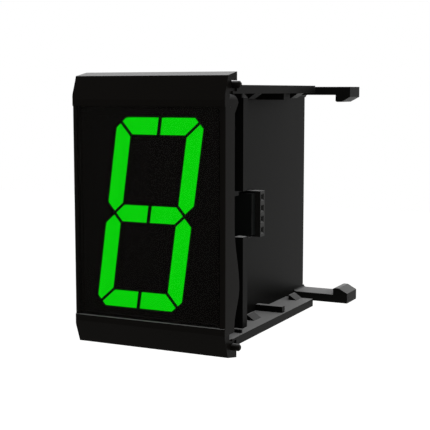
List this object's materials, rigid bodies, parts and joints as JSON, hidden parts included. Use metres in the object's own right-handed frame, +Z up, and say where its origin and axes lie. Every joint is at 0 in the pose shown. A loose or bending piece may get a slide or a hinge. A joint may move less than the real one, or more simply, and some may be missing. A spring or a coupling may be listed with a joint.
{
  "type": "sixteen-segment display",
  "caption": "Panel-mounted alphanumeric segment display with a dark window, a clip-on bezel, wings that pass through the panel, side sockets and joining hooks.",
  "frame": {"origin": "centre of the window's front face", "axes": "+X to the right as the display is read, +Y from the window to the rear of the case, +Z up"},
  "size_m": [0.0442, 0.0634, 0.06],
  "materials": {
    "black_moulding": "fine satin",
    "tinted_window": "polished",
    "reflector_plastic": "matt",
    "black_laminate": "matt solder resist",
    "chip_ceramic": "matt",
    "gold_plate": "bright",
    "black_nylon": "satin",
    "chip_epoxy": "matt",
    "metal_can": "satin",
    "can_sleeve": "gloss",
    "ferrite": "matt",
    "resistor_glaze": "gloss",
    "capacitor_ceramic": "satin",
    "plated_steel": "satin",
    "lit_guide": "diffusing, lit",
    "dark_guide": "diffusing, unlit"
  },
  "bodies": {
    "root": {"front_bezel": "black_moulding", "rear_case": "black_moulding", "display_window": "tinted_window", "reflector_block": "reflector_plastic", "led_board": "black_laminate", "driver_board": "black_laminate", "led_chips": "chip_ceramic", "link_pins": "gold_plate", "right_contacts": "gold_plate", "left_contacts": "gold_plate", "front_link_strips": "black_nylon", "rear_link_strips": "black_nylon", "right_socket": "black_nylon", "left_socket": "black_nylon", "segment_drivers": "chip_epoxy", "microcontroller": "chip_epoxy", "crystal": "metal_can", "smoothing_capacitor": "can_sleeve", "choke_coil": "ferrite", "resistors": "resistor_glaze", "ceramic_capacitors": "capacitor_ceramic", "board_screws": "plated_steel", "segment_a1": "lit_guide", "segment_a2": "lit_guide", "segment_b": "lit_guide", "segment_c": "lit_guide", "segment_d1": "lit_guide", "segment_d2": "lit_guide", "segment_e": "lit_guide", "segment_f": "lit_guide", "segment_g1": "lit_guide", "segment_g2": "lit_guide", "segment_h": "dark_guide", "segment_i": "dark_guide", "segment_j": "dark_guide", "segment_k": "dark_guide", "segment_l": "dark_guide", "segment_m": "dark_guide"}
  },
  "joints": []
}
